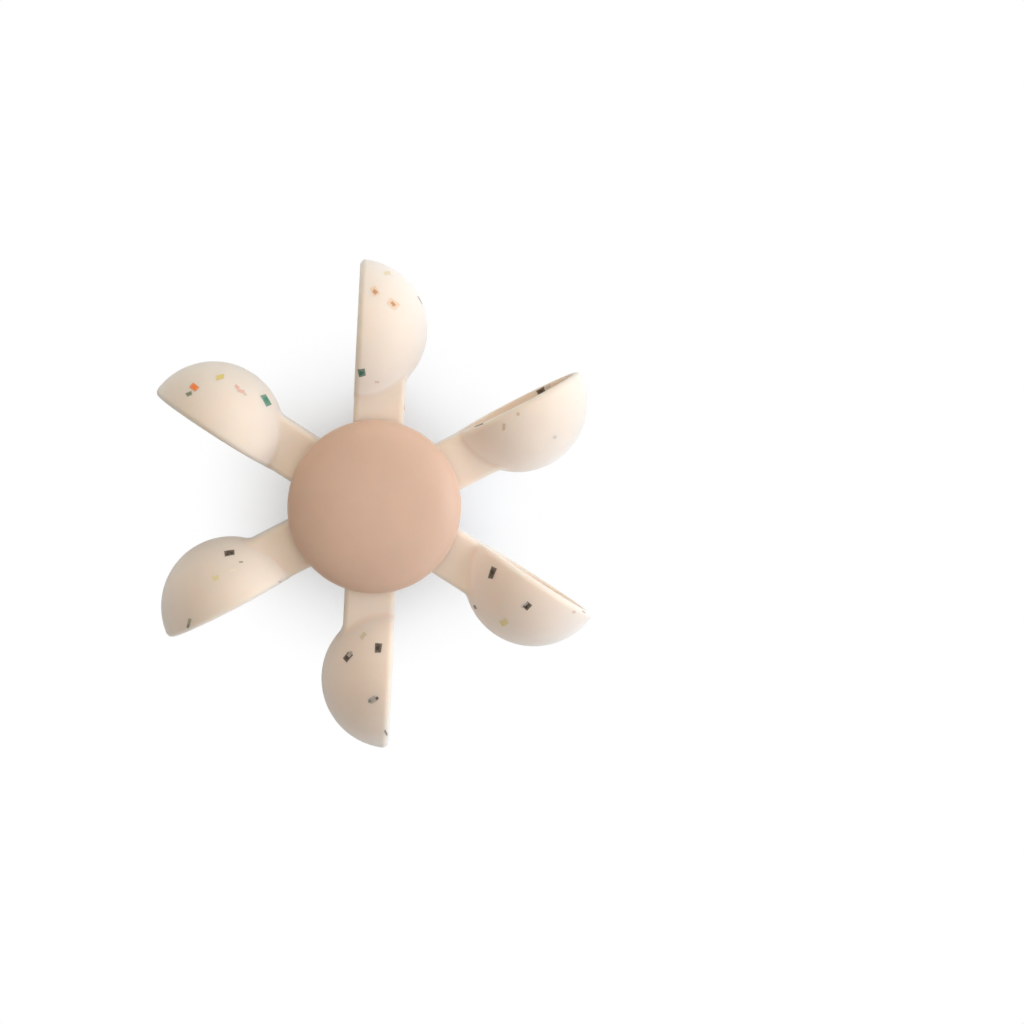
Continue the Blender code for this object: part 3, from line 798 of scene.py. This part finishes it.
def suction_mesh():
    """Suction bell with a flat seal ring, a blind socket for the axle's tail and a pull tab."""
    socket_z = SUCTION_HOLLOW + SUCTION_WEB
    head_z = axle_low.z + TAIL_HEAD_HEIGHT + SEAT_GAP
    socket = [
        (0.0, socket_z, 0.0),
        (TAIL_HEAD_RADIUS + SEAT_GAP, socket_z, SMALL_EDGE),
        (TAIL_HEAD_RADIUS + SEAT_GAP, head_z, SMALL_EDGE),
        (TAIL_NECK_RADIUS + SEAT_GAP, head_z, SMALL_EDGE),
        (TAIL_NECK_RADIUS + SEAT_GAP, suction_high.z, SMALL_EDGE),
        (NECK_RADIUS, suction_high.z, 2 * SMALL_EDGE),
    ]
    turns = np.linspace(0, math.pi / 2, CURVE_STEPS + 1)
    drop = suction_high.z - NECK_LENGTH - SUCTION_LIP
    flare = [
        (
            SUCTION_RADIUS - (SUCTION_RADIUS - NECK_RADIUS) * math.cos(t),
            SUCTION_LIP + drop * (1 - math.sin(t)),
            0.0,
        )
        for t in turns
    ]
    hollow_radius = SUCTION_RADIUS - SEAL_WIDTH
    hollow = [
        (hollow_radius * (1 - t / (math.pi / 2)), SUCTION_HOLLOW * math.sin(t), 0.0) for t in turns
    ]
    bell = turned_mesh("bell", socket + flare + [(SUCTION_RADIUS, 0.0, SMALL_EDGE)] + hollow)
    return combined(bell, ("UNION", tab_mesh()))


def build_hub():
    plastic = blush_plastic()
    add_piece("hub_cap", cap_mesh(), blush_silicone(), "wheel")
    add_piece("hub_rear_shell", rear_shell_mesh(), plastic, "wheel")
    add_piece("hub_front_shell", front_shell_mesh(), plastic, "wheel")


def build_mount(resin, steel):
    """What stays on the wall, and the bushes and washers that the wheel runs on."""
    add_piece("suction_cup", suction_mesh(), suction_silicone(), "mount")
    add_piece("axle_post", axle_mesh(), white_plastic(), "mount")
    add_piece("rear_bush", bush_mesh("rear_bush", True), resin, "wheel")
    add_piece("front_bush", bush_mesh("front_bush", False), resin, "wheel")
    add_piece("thrust_washer", washer_mesh("thrust_washer", BUSH_BORE), resin, "mount")
    add_piece("retaining_washer", washer_mesh("retaining_washer", AXLE_PILOT_RADIUS), steel, "mount")


def add_node(tree, kind, inputs=None, **settings):
    """A new shader node with its settings and its inputs, which are values or sockets to link."""
    node = tree.nodes.new(kind)
    for name, value in settings.items():
        setattr(node, name, value)
    for name, value in (inputs or {}).items():
        if isinstance(value, bpy.types.NodeSocket):
            tree.links.new(value, node.inputs[name])
        else:
            node.inputs[name].default_value = value
    return node


def new_material(name, **inputs):
    """A Principled material with plain values on its shader."""
    material = bpy.data.materials.new(name)
    material.use_nodes = True
    shader = material.node_tree.nodes["Principled BSDF"]
    for socket, value in inputs.items():
        shader.inputs[socket.replace("_", " ")].default_value = value
    return material, material.node_tree, shader


def noise(tree, size, detail=PATCH_DETAIL):
    """Noise with features of a real size."""
    place = add_node(tree, "ShaderNodeTexCoord").outputs["Object"]
    inputs = {"Vector": place, "Scale": 1 / size, "Detail": detail}
    return add_node(tree, "ShaderNodeTexNoise", inputs).outputs[0]


def ranged(tree, value, low, high):
    """Noise as a value between two others."""
    start, end = NOISE_RANGE
    inputs = {"Value": value, "From Min": start, "From Max": end, "To Min": low, "To Max": high}
    return add_node(tree, "ShaderNodeMapRange", inputs).outputs[0]


def mixed(tree, share, first, second):
    """A colour between two colours or sockets."""
    inputs = {"Factor": share, "A": first, "B": second}
    node = tree.nodes.new("ShaderNodeMix")
    node.data_type = "RGBA"
    for name, value in inputs.items():
        kind = "VALUE" if name == "Factor" else "RGBA"
        socket = next(s for s in node.inputs if s.name == name and s.type == kind)
        if isinstance(value, bpy.types.NodeSocket):
            tree.links.new(value, socket)
        else:
            socket.default_value = (*value, 1.0)
    return next(s for s in node.outputs if s.type == "RGBA")


def darker(colour, share):
    return tuple(share * c for c in colour)


def finish_surface(tree, shader, colour, second, roughness, grain):
    """Uneven colour, uneven gloss and a fine grain for a moulded surface."""
    share = ranged(tree, noise(tree, COLOUR_PATCH), 0.0, 1.0)
    tree.links.new(mixed(tree, share, colour, second), shader.inputs["Base Color"])
    gloss = ranged(tree, noise(tree, GLOSS_PATCH), roughness - GLOSS_SPREAD, roughness + GLOSS_SPREAD)
    tree.links.new(gloss, shader.inputs["Roughness"])
    size, depth = grain
    bump = {"Height": noise(tree, size, GRAIN_DETAIL), "Strength": GRAIN_STRENGTH, "Distance": depth}
    tree.links.new(add_node(tree, "ShaderNodeBump", bump).outputs[0], shader.inputs["Normal"])


def soft_silicone(name, colour, **inputs):
    """Dull, translucent silicone whose colour varies a little."""
    material, tree, shader = new_material(name, IOR=SILICONE_IOR, Subsurface_Weight=SCATTER_SHARE, **inputs)
    shader.inputs["Subsurface Radius"].default_value = SCATTER_COLOUR
    shader.inputs["Sheen Roughness"].default_value = SHEEN_ROUGHNESS
    second = darker(colour, SILICONE_SHADE)
    finish_surface(tree, shader, colour, second, inputs["Roughness"], SILICONE_GRAIN)
    return material


def cream_silicone():
    inputs = {"Subsurface_Scale": SCATTER_DEPTH, "Sheen_Weight": 1.0, **CREAM_FINISH}
    return soft_silicone("cream_silicone", CREAM, **inputs)


def blush_silicone():
    return soft_silicone("blush_silicone", BLUSH, Subsurface_Scale=SCATTER_DEPTH, **BLUSH_FINISH)


def suction_silicone():
    inputs = {"Subsurface_Scale": SUCTION_SCATTER_DEPTH, "Roughness": 0.35}
    return soft_silicone("suction_silicone", BLUSH, **inputs)


def chips():
    """Coloured flake with a thin, uneven veil of silicone over it."""
    material, tree, shader = new_material("chips", IOR=SILICONE_IOR, **CREAM_FINISH)
    tint = add_node(tree, "ShaderNodeVertexColor", layer_name="tint").outputs["Color"]
    share = ranged(tree, noise(tree, VEIL_PATCH), 0.0, CHIP_VEIL)
    tree.links.new(mixed(tree, share, tint, CREAM), shader.inputs["Base Color"])
    return material


def moulded_plastic(name, colour, roughness):
    material, tree, shader = new_material(name)
    finish_surface(tree, shader, colour, darker(colour, PLASTIC_SHADE), roughness, PLASTIC_GRAIN)
    return material


def blush_plastic():
    return moulded_plastic("blush_plastic", BLUSH_PLASTIC, roughness=0.45)


def white_plastic():
    return moulded_plastic("white_plastic", WHITE_PLASTIC, roughness=0.4)


def acetal():
    return moulded_plastic("acetal", ACETAL, roughness=0.35)


def stainless_steel():
    material, tree, shader = new_material("stainless_steel", Metallic=1.0)
    finish_surface(tree, shader, STEEL, DULL_STEEL, roughness=0.3, grain=STEEL_GRAIN)
    return material


def dress_nodes(material, *nodes):
    for name in nodes:
        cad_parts[name].data.materials[0] = material


def seen_ray(tree):
    """1 where the camera sees a surface, also through glass or in a polished surface."""
    path = add_node(tree, "ShaderNodeLightPath").outputs
    seen = path["Is Camera Ray"]
    for other in ("Is Glossy Ray", "Is Transmission Ray"):
        seen = add_node(tree, "ShaderNodeMath", {0: seen, 1: path[other]}, operation="MAXIMUM").outputs[0]
    return seen


def add_floor():
    """White table: the camera sees the wheel's soft shadow on it, and plain white further out."""
    bm = bmesh.new()
    bmesh.ops.create_grid(bm, x_segments=1, y_segments=1, size=FLOOR_SIDE / 2)
    material = bpy.data.materials.new("white_table")
    material.use_nodes = True
    tree = material.node_tree
    tree.nodes.clear()
    place = add_node(tree, "ShaderNodeNewGeometry").outputs["Position"]
    away = add_node(tree, "ShaderNodeVectorMath", {0: place}, operation="LENGTH").outputs["Value"]
    span = {"Value": away, "From Min": FLOOR_FADE[0], "From Max": FLOOR_FADE[1]}
    fade = add_node(tree, "ShaderNodeMapRange", span, interpolation_type="SMOOTHSTEP").outputs[0]
    plain = add_node(tree, "ShaderNodeBsdfDiffuse", {"Color": (*FLOOR_COLOUR, 1.0)}).outputs[0]
    shaded = add_node(tree, "ShaderNodeBsdfDiffuse", {"Color": (*FLOOR_SEEN, 1.0)}).outputs[0]
    white = add_node(tree, "ShaderNodeEmission", {"Strength": 1.0}).outputs[0]
    seen = add_node(tree, "ShaderNodeMixShader", {0: fade, 1: shaded, 2: white}).outputs[0]
    mix = add_node(tree, "ShaderNodeMixShader", {0: seen_ray(tree), 1: plain, 2: seen})
    add_node(tree, "ShaderNodeOutputMaterial", {"Surface": mix.outputs[0]})
    new_object("floor", mesh_from(bm, "floor"), material)


def add_lamp(name, turn, height, level, colour):
    data = bpy.data.lights.new(name, "AREA")
    data.size = LAMP_SIDE
    data.energy = level * (math.pi * LAMP_DISTANCE) ** 2
    data.color = colour
    lamp = linked(bpy.data.objects.new(name, data))
    flat = math.cos(height)
    toward = Vector((flat * math.cos(turn), flat * math.sin(turn), math.sin(height)))
    lamp.location = toward * LAMP_DISTANCE
    lamp.rotation_mode = "QUATERNION"
    lamp.rotation_quaternion = toward.to_track_quat("Z", "Y")
    lamp.visible_camera = False


def add_light():
    """An even, slightly warm room with large soft lamps, mostly to the right."""
    world = bpy.data.worlds.new("room")
    bpy.context.scene.world = world
    world.use_nodes = True
    tree = world.node_tree
    tree.nodes.clear()
    room = {"Color": (*WARM, 1.0), "Strength": ROOM_LEVEL}
    even = add_node(tree, "ShaderNodeBackground", room).outputs[0]
    white = {"Color": (1.0, 1.0, 1.0, 1.0), "Strength": 1.0}
    seen = add_node(tree, "ShaderNodeBackground", white).outputs[0]
    mix = add_node(tree, "ShaderNodeMixShader", {0: seen_ray(tree), 1: even, 2: seen})
    add_node(tree, "ShaderNodeOutputWorld", {"Surface": mix.outputs[0]})
    for name, placing in LAMPS.items():
        add_lamp(name, *placing)


add_camera()
add_floor()
add_light()
build_paddles()
build_hub()
steel = stainless_steel()
build_mount(acetal(), steel)
dress_nodes(steel, "axle_screw", *(f"hub_screw_{i}" for i in range(1, PADDLE_COUNT + 1)))
bpy.context.scene.view_settings.view_transform = "Standard"
